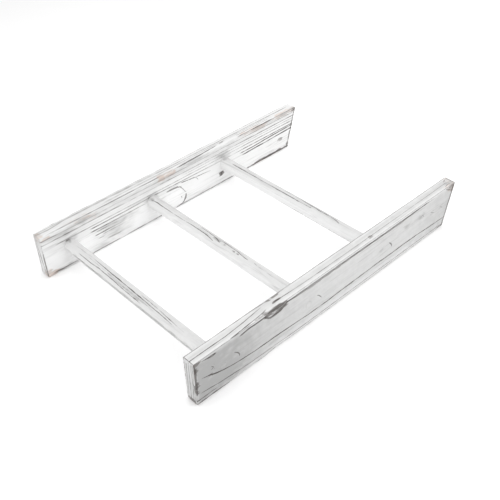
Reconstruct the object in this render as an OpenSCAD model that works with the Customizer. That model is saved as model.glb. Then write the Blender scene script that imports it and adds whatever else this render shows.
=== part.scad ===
// Leaning towel ladder: two board rails on edge, joined by three round rungs.
// The ladder lies on its back edges, as it does when it is put down.
// X runs across it, Y from its top end to its feet, Z from its back edges to its front edges.
// The origin is in the middle of its length and width, on the plane of the back edges.
// Left and right are those of a person who faces the leaning ladder, so the left rail is at +X.
// The rungs sit in blind sockets in the rails. A countersunk screw draws each rung end home,
// and a round wood plug covers the screw's head.

/* [Rails] */
// Length of a rail along its front edge
rail_length = 500; // [430:5:900]
// Depth of a rail from its back edge to its front edge
rail_depth = 70; // [55:1:110]
// Thickness of a rail board
rail_thickness = 19; // [18:0.5:30]
// Width of the ladder over both rails
ladder_width = 340; // [240:5:600]
// Angle from upright at which the ladder leans, which is also the slant of its feet
lean_angle = 15; // [5:1:25]
// Radius to which the long front edges of a rail are worn
front_radius = 2.5; // [0.5:0.1:4]
// Radius to which the long back edges of a rail are worn
back_radius = 1.2; // [0.5:0.1:3]
// Bevel that handling has worn on the end edges of a rail
end_bevel = 0.8; // [0.3:0.1:2]

/* [Rungs] */
// Diameter of a rung
rung_diameter = 20; // [14:0.5:28]
// Distance from the top end to the first rung's axis
first_rung = 43.5; // [25:0.5:70]
// Distance between neighbouring rung axes
rung_pitch = 146; // [60:1:160]
// Depth of the blind socket that takes a rung end
socket_depth = 8; // [4:0.5:9]
// Bevel on a rung end
rung_bevel = 1; // [0.3:0.1:2]
// Glue gap round a rung end in its socket
socket_clearance = 0.1; // [0.05:0.05:0.3]

/* [Screws and plugs] */
// Diameter of a screw's shank
screw_diameter = 4; // [3:0.1:5]
// Length of a screw with its head
screw_length = 40; // [25:1:60]
// Diameter of a screw's head
head_diameter = 8; // [6.5:0.1:9]
// Diameter of a screw plug
plug_diameter = 10; // [9.5:0.5:13]
// Length of a screw plug
plug_length = 5; // [2:0.5:6]
// Gap round a shank in a rail's clearance hole
shank_clearance = 0.25; // [0.1:0.05:0.5]
// Gap round a plug in its pocket
plug_clearance = 0.05; // [0.02:0.01:0.2]

/* [Weathering] */
// Greatest width of a drying crack
crack_width = 1; // [0.4:0.1:2]
// Depth of a drying crack
crack_depth = 1.2; // [0.4:0.1:2]
// Length of the open knot on the left rail's front edge
knot_length = 34; // [15:1:60]
// Depth of the open knot into that edge
knot_depth = 3; // [1:0.5:5]

/* [Hidden] */

LEFT = 1;
RIGHT = -1;
places = ["top", "middle", "bottom"];

whitewash = [0.93, 0.93, 0.92];
plug_paint = [0.88, 0.87, 0.85];
screw_steel = [0.72, 0.72, 0.74];

// Overrun of a cut past the face that it opens
overrun = 1;

// Planes across the ladder, from its middle plane
outer_face = ladder_width / 2;
inner_face = outer_face - rail_thickness;

// Planes along the ladder: the tip of a foot is at foot_end, where the front bevel starts
top_end = -rail_length / 2;
foot_end = rail_length / 2;
function foot_y(z) = foot_end - (rail_depth - end_bevel - z) * tan(lean_angle);

// Rungs lie in the middle of the rail's depth
rung_height = rail_depth / 2;
rung_radius = rung_diameter / 2;
rung_length = 2 * (inner_face + socket_depth);
function rung_y(place) = top_end + first_rung + search([place], places)[0] * rung_pitch;

// A screw's head ends where its plug starts
head_plane = outer_face - plug_length;
head_height = (head_diameter - screw_diameter) / 2;
screw_tip = screw_diameter;
recess_width = head_diameter / 8;
recess_length = head_diameter / 2;
recess_depth = head_height / 2;

// Drying cracks, from the top end: share of the rail's length, then share of its depth
left_main_shares = [
    [0.024, 0.550], [0.048, 0.505], [0.068, 0.443], [0.092, 0.395], [0.160, 0.335],
    [0.260, 0.305], [0.390, 0.255], [0.500, 0.265], [0.660, 0.290], [0.830, 0.275],
    [0.945, 0.240]
];
left_lower_shares = [[0.016, 0.235], [0.070, 0.183], [0.140, 0.136], [0.240, 0.103], [0.330, 0.075]];
right_knot_shares = [[0.436, 0.545], [0.470, 0.540], [0.488, 0.490], [0.504, 0.300], [0.506, 0.180]];
right_foot_shares = [[0.755, 0.455], [0.830, 0.470], [0.900, 0.500], [0.960, 0.535]];
right_upper_shares = [[0.160, 0.610], [0.250, 0.625], [0.330, 0.630]];
// Middle of the open knot, as a share of the rail's length from its top end
knot_share = 0.265;

$fn = 64;

// Puts a shape that points along +Z, drawn at the ladder's middle plane, on one side:
// its +Z then points outwards, along the axis of the rung at that place
module on_rung_axis(side, place) {
    translate([0, rung_y(place), rung_height])
        rotate([0, side * 90, 0])
            children();
}

// Cross section of a rail, across X and Z, with its long edges worn round
module rail_section() {
    union() {
        translate([0, back_radius])
            square([rail_thickness, rail_depth - back_radius - front_radius]);
        worn_edge(back_radius, 0, back_radius);
        worn_edge(front_radius, rail_depth - front_radius, rail_depth - front_radius);
    }
}

// One long edge of that section: a strip of the radius's height, and a round at each corner
module worn_edge(radius, strip_z, round_z) {
    translate([radius, strip_z])
        square([rail_thickness - 2 * radius, radius]);
    for (x = [radius, rail_thickness - radius])
        translate([x, round_z])
            circle(radius);
}

// Side view of a rail, along Y and Z: square at the top, slanted at the foot, ends bevelled
module rail_side() {
    polygon([
        [top_end, end_bevel],
        [top_end + end_bevel, 0],
        [foot_y(0) - end_bevel, 0],
        [foot_y(end_bevel), end_bevel],
        [foot_end, rail_depth - end_bevel],
        [foot_end - end_bevel, rail_depth],
        [top_end + end_bevel, rail_depth],
        [top_end, rail_depth - end_bevel]
    ]);
}

// The bare board of a rail, with its outer face at outer_face on the +X side
module rail_board() {
    intersection() {
        translate([inner_face, foot_end, 0])
            rotate([90, 0, 0])
                linear_extrude(rail_length)
                    rail_section();
        translate([inner_face, 0, 0])
            rotate([90, 0, 90])
                linear_extrude(rail_thickness)
                    rail_side();
    }
}

// Everything that is bored in a rail for one rung, on the +X side
module rung_boring(place) {
    on_rung_axis(LEFT, place) {
        translate([0, 0, inner_face - overrun])
            cylinder(r = rung_radius + socket_clearance, h = socket_depth + overrun);
        translate([0, 0, inner_face])
            cylinder(d = screw_diameter + 2 * shank_clearance, h = rail_thickness - plug_length);
        translate([0, 0, head_plane - head_height])
            cylinder(d1 = screw_diameter, d2 = head_diameter, h = head_height);
        translate([0, 0, head_plane])
            cylinder(r = plug_diameter / 2 + plug_clearance, h = plug_length + overrun);
    }
}

// Outline of a crack in the plane of its face: pointed at both ends, widest in the middle
module crack_outline(path_shares) {
    last = len(path_shares) - 1;
    function spot(i) = [
        top_end + path_shares[i][0] * rail_length,
        path_shares[i][1] * rail_depth
    ];
    function half_width(i) = crack_width / 2 * sin(180 * i / last);
    polygon(concat(
        [for (i = [0 : last]) spot(i) + [0, half_width(i)]],
        [for (i = [last - 1 : -1 : 1]) spot(i) - [0, half_width(i)]]
    ));
}

// Cut for a crack that opens on the face at face_x and goes crack_depth into the wood behind it
module crack(path_shares, face_x, into) {
    start = into > 0 ? face_x - overrun : face_x - crack_depth;
    translate([start, 0, 0])
        rotate([90, 0, 90])
            linear_extrude(crack_depth + overrun)
                crack_outline(path_shares);
}

// Cut for the open knot on the outer front edge: a shallow round bite across the corner
module knot_bite() {
    half = knot_length / 2;
    bite_radius = (half * half + knot_depth * knot_depth) / (2 * knot_depth);
    reach = bite_radius - knot_depth;
    bite_width = rail_thickness;
    translate([outer_face, top_end + knot_share * rail_length, rail_depth])
        rotate([0, 45, 0])
            translate([0, 0, reach])
                rotate([0, 90, 0])
                    cylinder(r = bite_radius, h = 2 * bite_width, center = true, $fn = 96);
}

module left_rail() {
    color(whitewash)
        difference() {
            rail_board();
            for (place = places)
                rung_boring(place);
            crack(left_main_shares, outer_face, -1);
            crack(left_lower_shares, outer_face, -1);
            knot_bite();
        }
}

module right_rail() {
    color(whitewash)
        mirror([1, 0, 0])
            difference() {
                rail_board();
                for (place = places)
                    rung_boring(place);
                crack(right_upper_shares, inner_face, 1);
                crack(right_knot_shares, inner_face, 1);
                crack(right_foot_shares, inner_face, 1);
            }
}

// A wood screw with its axis on Z: the head's flat top is at the origin and the point is below
module screw_body() {
    rotate_extrude()
        polygon([
            [0, 0],
            [head_diameter / 2, 0],
            [screw_diameter / 2, -head_height],
            [screw_diameter / 2, screw_tip - screw_length],
            [0, -screw_length]
        ]);
}

// Cross recess for the driver, in the top of the head
module driver_recess() {
    for (turn = [0, 90])
        rotate([0, 0, turn])
            translate([-recess_length / 2, -recess_width / 2, -recess_depth])
                cube([recess_length, recess_width, recess_depth + overrun]);
}

module rung_screw(side, place) {
    color(screw_steel)
        on_rung_axis(side, place)
            translate([0, 0, head_plane])
                difference() {
                    screw_body();
                    driver_recess();
                }
}

module screw_plug(side, place) {
    color(plug_paint)
        on_rung_axis(side, place)
            translate([0, 0, head_plane])
                cylinder(d = plug_diameter, h = plug_length);
}

// A rung from socket floor to socket floor, with the holes that its two screws cut
module rung(place) {
    color(whitewash)
        difference() {
            on_rung_axis(LEFT, place)
                translate([0, 0, -rung_length / 2])
                    rung_bar();
            for (side = [LEFT, RIGHT])
                on_rung_axis(side, place)
                    translate([0, 0, head_plane])
                        screw_body();
        }
}

// A bar on the Z axis with bevelled ends, standing on the origin
module rung_bar() {
    rotate_extrude()
        polygon([
            [0, 0],
            [rung_radius - rung_bevel, 0],
            [rung_radius, rung_bevel],
            [rung_radius, rung_length - rung_bevel],
            [rung_radius - rung_bevel, rung_length],
            [0, rung_length]
        ]);
}

left_rail();
right_rail();
rung("top");  // top_rung
rung("middle");  // middle_rung
rung("bottom");  // bottom_rung
rung_screw(LEFT, "top");  // top_left_screw
rung_screw(LEFT, "middle");  // middle_left_screw
rung_screw(LEFT, "bottom");  // bottom_left_screw
rung_screw(RIGHT, "top");  // top_right_screw
rung_screw(RIGHT, "middle");  // middle_right_screw
rung_screw(RIGHT, "bottom");  // bottom_right_screw
screw_plug(LEFT, "top");  // top_left_plug
screw_plug(LEFT, "middle");  // middle_left_plug
screw_plug(LEFT, "bottom");  // bottom_left_plug
screw_plug(RIGHT, "top");  // top_right_plug
screw_plug(RIGHT, "middle");  // middle_right_plug
screw_plug(RIGHT, "bottom");  // bottom_right_plug
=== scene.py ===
# %% [markdown]
# # A whitewashed towel ladder
#
# Two pine boards stand on edge and three round rungs join them. The wood was painted white and
# then rubbed back, so that cracks, knots and corners show through the paint.
#
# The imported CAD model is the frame: it says where each piece is, and this script dresses it.
# Blender works in metres. The wood is cut and marked in millimetres, as a joiner would measure
# it, and a piece comes down to metres when its marks are carved.

# %% Load the frame
import math

import bmesh
import bpy
import numpy as np
from mathutils import Matrix, Quaternion, Vector, noise


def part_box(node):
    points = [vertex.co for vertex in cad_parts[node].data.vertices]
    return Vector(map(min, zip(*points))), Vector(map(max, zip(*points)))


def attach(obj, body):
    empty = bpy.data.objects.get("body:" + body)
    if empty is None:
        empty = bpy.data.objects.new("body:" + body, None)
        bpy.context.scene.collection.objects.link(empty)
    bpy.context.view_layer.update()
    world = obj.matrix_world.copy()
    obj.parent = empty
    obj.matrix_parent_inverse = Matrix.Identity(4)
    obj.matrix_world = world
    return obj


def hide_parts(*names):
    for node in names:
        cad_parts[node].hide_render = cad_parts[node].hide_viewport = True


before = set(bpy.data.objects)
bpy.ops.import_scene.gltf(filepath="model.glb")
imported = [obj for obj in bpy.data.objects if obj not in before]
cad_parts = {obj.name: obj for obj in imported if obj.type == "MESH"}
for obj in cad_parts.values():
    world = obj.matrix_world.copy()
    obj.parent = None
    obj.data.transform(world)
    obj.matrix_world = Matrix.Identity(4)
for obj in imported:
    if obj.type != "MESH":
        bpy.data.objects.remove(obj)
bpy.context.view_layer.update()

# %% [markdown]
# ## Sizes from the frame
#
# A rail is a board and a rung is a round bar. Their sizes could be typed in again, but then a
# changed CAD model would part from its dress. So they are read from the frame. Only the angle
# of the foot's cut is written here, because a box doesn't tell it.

MM = 0.001
rail_low, rail_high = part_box("left_rail")
THICKNESS = round((rail_high.x - rail_low.x) / MM, 3)
DEPTH = round((rail_high.z - rail_low.z) / MM, 3)
LENGTH = round((rail_high.y - rail_low.y) / MM, 3)
OUTER = round(rail_high.x / MM, 3)
INNER = OUTER - THICKNESS
TOP_END = -LENGTH / 2
LEAN = math.radians(15)
print("rail", LENGTH, "x", DEPTH, "x", THICKNESS, "mm, outer face at", OUTER, "mm")

# %% Measure the rungs
RUNGS = ("top", "middle", "bottom")
RUNG_Y = {}
for place in RUNGS:
    low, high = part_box(f"{place}_rung")
    RUNG_Y[place] = round((low.y + high.y) / 2 / MM, 3)
RUNG_RADIUS = round((high.z - low.z) / 2 / MM, 3)
RUNG_HEIGHT = round((high.z + low.z) / 2 / MM, 3)
RUNG_HALF = round(high.x / MM, 3)
print("rung axes at", RUNG_Y, "mm, radius", RUNG_RADIUS, "mm")

# %% [markdown]
# ## The camera
#
# The photograph looks down on the ladder from beside its left rail, past the top end.
# A camera can be placed by eye, or solved from points whose real places are known. Here
# the corners of both rails were known, so the place, the aim, the small roll and the lens
# were worked out from them, and are given as numbers.

# %% Place the camera
CAMERA_PLACE = (0.64539, -0.58897, 0.71205)
CAMERA_AIM = (0.03737, -0.03752, 0.035)
CAMERA_ROLL = math.radians(-2.205)
CAMERA_LENS = 55.381

camera = bpy.data.objects.new("camera", bpy.data.cameras.new("camera"))
bpy.context.scene.collection.objects.link(camera)
bpy.context.scene.camera = camera
camera.data.sensor_width = 36
camera.data.lens = CAMERA_LENS
camera.data.clip_start = 0.01
camera.data.dof.use_dof = False
camera.location = CAMERA_PLACE
level = (Vector(CAMERA_AIM) - camera.location).to_track_quat("-Z", "Y")
camera.rotation_mode = "QUATERNION"
camera.rotation_quaternion = level @ Quaternion((0, 0, 1), CAMERA_ROLL)
print("camera at", CAMERA_PLACE, "looks at", CAMERA_AIM)

# %% [markdown]
# ## The studio
#
# The ladder lies on a plain pale floor in a white room. One bright lamp would throw a hard
# shadow that the photograph doesn't have, so a white world gives the even light of a light
# tent. One large soft lamp above adds a little direction, so that the upper faces are the
# brightest, and a second one at the foot end lights the faces that look along the rungs.

# %% Light the studio
ROOM_LIGHT = 0.74


def soft_lamp(name, place, target, size, power):
    """A square area lamp that shines from one point towards another."""
    lamp = bpy.data.lights.new(name, "AREA")
    lamp.shape = "SQUARE"
    lamp.size = size
    lamp.energy = power
    holder = bpy.data.objects.new(name, lamp)
    holder.location = place
    holder.rotation_euler = (Vector(target) - Vector(place)).to_track_quat("-Z", "Y").to_euler()
    bpy.context.scene.collection.objects.link(holder)
    print(name, "of", power, "W at", place)


soft_lamp("overhead_lamp", place=(0.1, 0.05, 1.0), target=(0, 0, 0), size=1.7, power=10.6)
soft_lamp("foot_lamp", place=(1.6, 1.5, 0.9), target=(0, 0.1, 0), size=1.2, power=7)

world = bpy.data.worlds.new("white_room")
world.use_nodes = True
world.node_tree.nodes["Background"].inputs["Color"].default_value = (1, 1, 1, 1)
world.node_tree.nodes["Background"].inputs["Strength"].default_value = ROOM_LIGHT
bpy.context.scene.world = world
bpy.context.scene.view_settings.view_transform = "Standard"

# %% [markdown]
# ## Shader maths as Python
#
# A finish is a material, and a material is a tree of nodes. Wiring them by hand hides the
# sums, so a small class wraps one socket and turns each Python operator into a Math node.
# `node` adds any other node.

# %% Wrap a socket
class Wire:
    """A value in a material's node tree. Each sum on it adds the Math node that works it out."""

    def __init__(self, tree, socket=None):
        self.tree = tree
        self.socket = socket

    def node(self, kind, settings=None, inputs=None, output=0):
        """Adds a node: its settings first, then the values or links of its sockets."""
        made = self.tree.nodes.new(kind)
        for name, value in (settings or {}).items():
            setattr(made, name, value)
        for name, value in (inputs or {}).items():
            if isinstance(value, Wire):
                self.tree.links.new(value.socket, made.inputs[name])
            else:
                made.inputs[name].default_value = value
        return Wire(self.tree, made.outputs[output])

    def math(self, operation, *values):
        """One Math node with these values, in order."""
        return self.node("ShaderNodeMath", {"operation": operation}, dict(enumerate(values)))

    def __add__(self, other):
        return self.math("ADD", self, other)

    def __sub__(self, other):
        return self.math("SUBTRACT", self, other)

    def __rsub__(self, other):
        return self.math("SUBTRACT", other, self)

    def __mul__(self, other):
        return self.math("MULTIPLY", self, other)

    def __abs__(self):
        return self.math("ABSOLUTE", self)

    __radd__ = __add__
    __rmul__ = __mul__

    def rise(self, low, high):
        """0 below low, 1 above high, and a smooth step between them."""
        sockets = {"Value": self, "From Min": low, "From Max": high}
        return self.node("ShaderNodeMapRange", {"interpolation_type": "SMOOTHSTEP"}, sockets)

    def mix(self, first, second):
        """The first colour where this value is 0, and the second where it is 1."""
        sockets = {0: self, 6: first, 7: second}
        return self.node("ShaderNodeMix", {"data_type": "RGBA"}, sockets, output=2)

    def blend(self, first, second):
        """The first vector where this value is 0, and the second where it is 1."""
        sockets = {0: self, 4: first, 5: second}
        return self.node("ShaderNodeMix", {"data_type": "VECTOR"}, sockets, output=1)

    def stretch(self, scale):
        """This vector with each axis multiplied by its own number."""
        return self.node("ShaderNodeVectorMath", {"operation": "MULTIPLY"}, {0: self, 1: scale})

    def clouds(self, scale, detail=2.0, roughness=0.5):
        """Noise from 0 to 1 on this vector."""
        sockets = {"Vector": self, "Scale": scale, "Detail": detail, "Roughness": roughness}
        return self.node("ShaderNodeTexNoise", None, sockets)


# %% Start and end a material
def new_material(name, constants):
    """A material whose Principled shader has these constants on its own sockets."""
    material = bpy.data.materials.new(name)
    material.use_nodes = True
    for socket, value in constants.items():
        material.node_tree.nodes["Principled BSDF"].inputs[socket].default_value = value
    return material


def feed_shader(material, wires):
    """Links what changes over the surface to the material's Principled shader."""
    shader = material.node_tree.nodes["Principled BSDF"]
    for socket, wire in wires.items():
        material.node_tree.links.new(wire.socket, shader.inputs[socket])
    print(material.name, "has", len(material.node_tree.nodes), "nodes")


# %% [markdown]
# ## Whitewash on pine
#
# The finish is a stack: pale wood, a thin matt white paint that the grain shows through,
# and dark places where the wood has opened. A picture would fix all this at one scale, so it
# is built from noise and from marks that the mesh carries.
#
# - `seam` and `ring` hold the signed distance in mm to the nearest crack or growth ring. A
#   distance runs straight through zero, so a line stays sharp between the mesh's points.
# - `seam_width` and `ring_width` hold the half width of that line.
# - `bare` and `knot` are soft masks of rubbed wood and knots, which noise breaks up into
#   flakes. A grey mask thins the paint and holds dirt, and also painted shade. A white mask is
#   a thick daub of paint that hides the grain, and also painted light.

# %% Name the colours and read the marks
PAINT = (0.82, 0.82, 0.818, 1)
FRESH_PAINT_AND_LIGHT = (0.88, 0.88, 0.882, 1)
THIN_PAINT_AND_SHADE = (0.39, 0.389, 0.387, 1)
BARE_WOOD = (0.56, 0.39, 0.30, 1)
GREY_WOOD = (0.29, 0.282, 0.277, 1)
DARK_GRAIN = (0.085, 0.078, 0.073, 1)
KNOT_WOOD = (0.10, 0.085, 0.078, 1)


def attribute(wire, name):
    """A number that the mesh carries at each point."""
    return wire.node("ShaderNodeAttribute", {"attribute_name": name}, output="Fac")


def line_mask(wire, name, waver, blur):
    """1 on the lines of that name: where the distance to one is less than its half width."""
    width = attribute(wire, name + "_width")
    inside = width * (1.1 + waver) - abs(attribute(wire, name))
    return inside.rise(-blur, blur) * width.rise(0.02, 0.12)


def flaked_mask(wire, name, blotch, blur):
    """The soft mask of that name, with its rim broken up into flakes."""
    mask = attribute(wire, name)
    broken = mask + 1.2 * (blotch - 0.5) * mask.rise(0, 0.3)
    return broken.rise(0.5 - blur, 0.5 + blur)


# %% [markdown]
# ### The grain
#
# Grain runs down the length of a board, so it is noise drawn out along that axis. On an end
# the fibres are seen head on, so there the noise is drawn out along the growth rings instead.
# Paint lies on top and takes less notice of the grain: its noises are even, or nearly so.

# %% Draw the grain
GRAIN_STRETCH = 0.045
END_GRAIN_STRETCH = 0.07
FLAKE_STRETCH = 0.3
GROWTH_BANDS = 4


def drawn_out(along, stretch, unit=1.0):
    """A scale for three axes: one unit on each, but less of it along the one drawn out."""
    return [unit * stretch if axis == along else unit for axis in range(3)]


def wood_noises(wire, along):
    """The noises of painted wood whose grain runs along that axis."""
    place = wire.node("ShaderNodeTexCoord", output="Object")
    facing = wire.node("ShaderNodeTexCoord", output="Normal")
    on_end = abs(wire.node("ShaderNodeSeparateXYZ", None, {0: facing}, output=along))
    side_grain = place.stretch(drawn_out(along, GRAIN_STRETCH, 1 / MM))
    end_grain = place.stretch(drawn_out(2, END_GRAIN_STRETCH, 1 / MM))
    grain = on_end.rise(0.6, 0.8).blend(side_grain, end_grain)
    even = place.stretch([1 / MM] * 3)
    paint = even.stretch(drawn_out(along, FLAKE_STRETCH))
    growth = wire.math("FRACT", GROWTH_BANDS * grain.clouds(0.11, detail=2))
    return {
        "fibre": grain.clouds(1.5, detail=3, roughness=0.6),
        "streak": grain.clouds(0.32, detail=3),
        "growth": 1 - abs(growth - 0.5).rise(0.02, 0.14),
        "patchy": even.clouds(0.035, detail=3),
        "mottle": even.clouds(0.09, detail=4, roughness=0.6),
        "flake": paint.clouds(0.75, detail=4, roughness=0.65),
        "blotch": paint.clouds(0.3, detail=4, roughness=0.6),
    }


# %% [markdown]
# ### The stack
#
# Each layer is how much of it shows, a mask that says where, and its colour. They lie on the
# paint in this order: first where it is thin, then dirt and painted shade, then new paint and
# painted light, then the rubbed and opened wood. What has opened is also rougher and lies deeper.

# %% Mix the whitewash
BUMP = {"Strength": 0.35, "Distance": 0.4 * MM}
PAINT_ROUGHNESS = 0.76
OPENED_ROUGHNESS = 0.14


def whitewash(name, along):
    """White paint rubbed back on wood whose grain runs along that axis: 0 is X and 1 is Y."""
    material = new_material(name, {"Specular IOR Level": 0.25})
    wire = Wire(material.node_tree)
    wood = wood_noises(wire, along)
    streak, flake, growth = wood["streak"], wood["flake"], wood["growth"]
    greyed = streak.rise(0.5, 0.72) * wood["patchy"].rise(0.42, 0.6)
    pores = wood["fibre"].rise(0.6, 0.7) * (0.15 + 0.85 * streak.rise(0.45, 0.65))
    # The grey mask holds dirt and thin paint, and also painted shade. The white one holds thick
    # paint, and also painted light.
    grime_and_shade = attribute(wire, "grime_and_shade") * (0.5 + 0.3 * streak + 0.7 * wood["mottle"])
    fresh_and_light = attribute(wire, "fresh_and_light")
    bare = flaked_mask(wire, "bare", wood["blotch"], blur=0.3)
    knot = flaked_mask(wire, "knot", wood["blotch"], blur=0.25)
    ring = line_mask(wire, "ring", flake, blur=0.2)
    seam = line_mask(wire, "seam", 0.55 * streak + 0.45 * flake, blur=0.16)
    bare_tone = streak.rise(0.4, 0.7).mix(BARE_WOOD, GREY_WOOD)
    seam_tone = attribute(wire, "seam_width").rise(0.6, 1.5).mix(DARK_GRAIN, GREY_WOOD)
    layers = [
        (0.12, greyed, THIN_PAINT_AND_SHADE), (0.16, pores, GREY_WOOD),
        (0.3, growth * streak.rise(0.35, 0.6), GREY_WOOD), (1, grime_and_shade, THIN_PAINT_AND_SHADE),
        (1, fresh_and_light, FRESH_PAINT_AND_LIGHT), (0.55, bare, bare_tone), (0.75, knot, KNOT_WOOD),
        (0.72, ring, DARK_GRAIN), (0.9, seam, seam_tone),
    ]
    colour = PAINT
    for shows, mask, tone in layers:
        colour = (shows * mask).mix(colour, tone)
    opened = (seam + ring + 0.4 * bare + 0.5 * knot).rise(0, 1.2)
    height = 0.25 * wood["fibre"] + 0.12 * flake - 0.1 * growth - 0.9 * opened
    rough = PAINT_ROUGHNESS + OPENED_ROUGHNESS * opened
    bump = wire.node("ShaderNodeBump", None, {"Height": height, **BUMP})
    feed_shader(material, {"Base Color": colour, "Roughness": rough, "Normal": bump})
    return material


rail_finish = whitewash("rail_whitewash", along=1)
rung_finish = whitewash("rung_whitewash", along=0)

# %% [markdown]
# ## The floor
#
# A studio floor often curves up into a backdrop. From this height only the ground is in view,
# so one flat sheet of pale paper will do, far larger than the view, so that no edge of it
# shows. It lies a hair lower than the ladder, because two faces in one plane can flicker.

# %% Lay the floor
FLOOR_SIZE = 24.0
FLOOR_DROP = 0.2 * MM

floor_shape = bmesh.new()
bmesh.ops.create_grid(floor_shape, x_segments=2, y_segments=2, size=FLOOR_SIZE / 2)
floor_mesh = bpy.data.meshes.new("floor")
floor_shape.to_mesh(floor_mesh)
floor_shape.free()
floor = bpy.data.objects.new("floor", floor_mesh)
floor.location.z = -FLOOR_DROP
bpy.context.scene.collection.objects.link(floor)
paper = {"Base Color": (0.97, 0.97, 0.97, 1), "Roughness": 0.9, "Specular IOR Level": 0.1}
floor_mesh.materials.append(new_material("pale_paper", paper))
print("floor", FLOOR_SIZE, "m square")

# %% [markdown]
# ## A board, ready to weather
#
# On the real ladder a rail is a planed board: square at the top, cut at the lean angle at the
# foot, with its corners knocked off. The CAD solid has this shape but only a few large faces,
# and weathering needs many small ones. So the board is made again from a cube: bevelled, then
# cut along each of its three directions.
#
# Cuts a millimetre apart all over would make far too many faces. So the cuts across the length
# are drawn together only where a knot or a mark needs them.

# %% Cut a board into small faces
ARRIS = 1.1
CUTS = {1: 243, 2: 129, 0: 31}


def board_blank():
    """A board as fine faces, standing on its back edge with its outer face at OUTER."""
    blank = bmesh.new()
    bmesh.ops.create_cube(blank, size=1.0)
    size = (THICKNESS, LENGTH, DEPTH)
    bmesh.ops.scale(blank, vec=size, verts=blank.verts)
    bmesh.ops.translate(blank, vec=(OUTER - THICKNESS / 2, 0, DEPTH / 2), verts=blank.verts)
    bmesh.ops.bevel(blank, geom=blank.edges[:], offset=ARRIS, affect="EDGES", segments=2,
                    profile=0.5, material=-1)
    for axis, cuts in CUTS.items():
        long_edges = [
            edge for edge in blank.edges
            if abs(edge.verts[0].co[axis] - edge.verts[1].co[axis]) > size[axis] / 2
        ]
        bmesh.ops.subdivide_edges(blank, edges=long_edges, cuts=cuts)
    return blank


# %% Draw its cuts together and slant its foot
CLOSE_CUTS = 1.0
FOOT_REACH = 60


def draw_together(blank, zones):
    """Slides the cuts across the length so that they are CLOSE_CUTS apart in the zones."""
    stations = np.array(sorted({ARRIS, LENGTH - ARRIS, *[s for zone in zones for s in zone]}))
    stations = stations[(stations >= ARRIS) & (stations <= LENGTH - ARRIS)]
    middles = (stations[1:] + stations[:-1]) / 2
    dense = np.array([any(a <= m <= b for a, b in zones) for m in middles])
    spans = np.diff(stations)
    cells = CUTS[1] + 1
    loose = (cells - spans[dense].sum() / CLOSE_CUTS) / spans[~dense].sum()
    rates = np.where(dense, 1 / CLOSE_CUTS, loose)
    share = np.concatenate([[0], np.cumsum(spans * rates)]) / cells
    for vert in blank.verts:
        along = (vert.co.y - TOP_END - ARRIS) / (LENGTH - 2 * ARRIS)
        if 0 < along < 1:
            vert.co.y = TOP_END + float(np.interp(along, share, stations))
    print("cuts", CLOSE_CUTS, "mm apart in", len(zones), "zones,", round(1 / loose, 2),
          "mm elsewhere")


def slant_foot(blank):
    """Moves the foot end back towards the back edge, which gives the ladder its lean."""
    start = LENGTH / 2 - FOOT_REACH
    for vert in blank.verts:
        if vert.co.y > start:
            share = (vert.co.y - start) / FOOT_REACH
            vert.co.y -= share * max(0, DEPTH - ARRIS - vert.co.z) * math.tan(LEAN)


# %% [markdown]
# ## The joints
#
# Each rung end sits in a blind socket. A countersunk screw comes from the outer face, and a
# wood plug covers its head. A joiner drills these one after the other, but they share one
# axis. So all that is bored for one rung is one turned shape, which is spun from a profile and
# taken away with a Boolean.

# %% Turn the shape of a joint
SOCKET_RADIUS = RUNG_RADIUS + 0.02
POCKET_RADIUS = 5.05
POCKET_DEPTH = 5
HEAD_PLANE = OUTER - POCKET_DEPTH
HEAD_RADIUS = 4.0
HEAD_HEIGHT = 2.0
SHANK_RADIUS = 2.25
OVERRUN = 1
WELD = 1e-4


def boring_profile():
    """Places along the rung's axis and radii of what is bored for one rung, in mm."""
    return [
        (INNER - OVERRUN, 0), (INNER - OVERRUN, SOCKET_RADIUS), (RUNG_HALF, SOCKET_RADIUS),
        (RUNG_HALF, SHANK_RADIUS), (HEAD_PLANE - HEAD_HEIGHT, SHANK_RADIUS),
        (HEAD_PLANE, HEAD_RADIUS), (HEAD_PLANE, POCKET_RADIUS),
        (OUTER + OVERRUN, POCKET_RADIUS), (OUTER + OVERRUN, 0),
    ]


def spin_about_rung(shape, profile, place, steps):
    """Spins a profile of (along X, radius) points about the axis of that rung."""
    verts = [shape.verts.new((x, RUNG_Y[place], RUNG_HEIGHT + radius)) for x, radius in profile]
    edges = [shape.edges.new(pair) for pair in zip(verts, verts[1:])]
    bmesh.ops.spin(shape, geom=verts + edges, cent=(0, RUNG_Y[place], RUNG_HEIGHT),
                   axis=(1, 0, 0), angle=math.tau, steps=steps, use_merge=True)
    bmesh.ops.remove_doubles(shape, verts=shape.verts, dist=WELD)
    bmesh.ops.recalc_face_normals(shape, faces=shape.faces)


# %% Bore the joints
def as_object(name, shape):
    """A linked object with that bmesh as its mesh."""
    mesh = bpy.data.meshes.new(name)
    shape.to_mesh(mesh)
    shape.free()
    made = bpy.data.objects.new(name, mesh)
    bpy.context.scene.collection.objects.link(made)
    return made


def bore_joints(board):
    """Takes the three borings away from a board, and keeps the result as its mesh."""
    cutter_shape = bmesh.new()
    for place in RUNGS:
        spin_about_rung(cutter_shape, boring_profile(), place, steps=72)
    cutter = as_object("borings", cutter_shape)
    boring = board.modifiers.new("borings", "BOOLEAN")
    boring.operation = "DIFFERENCE"
    boring.solver = "MANIFOLD"
    boring.object = cutter
    evaluated = board.evaluated_get(bpy.context.evaluated_depsgraph_get())
    bored = bpy.data.meshes.new_from_object(evaluated)
    board.modifiers.clear()
    board.data = bored
    bpy.data.objects.remove(cutter)
    print(board.name, "has", len(bored.polygons), "faces after boring")


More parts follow.
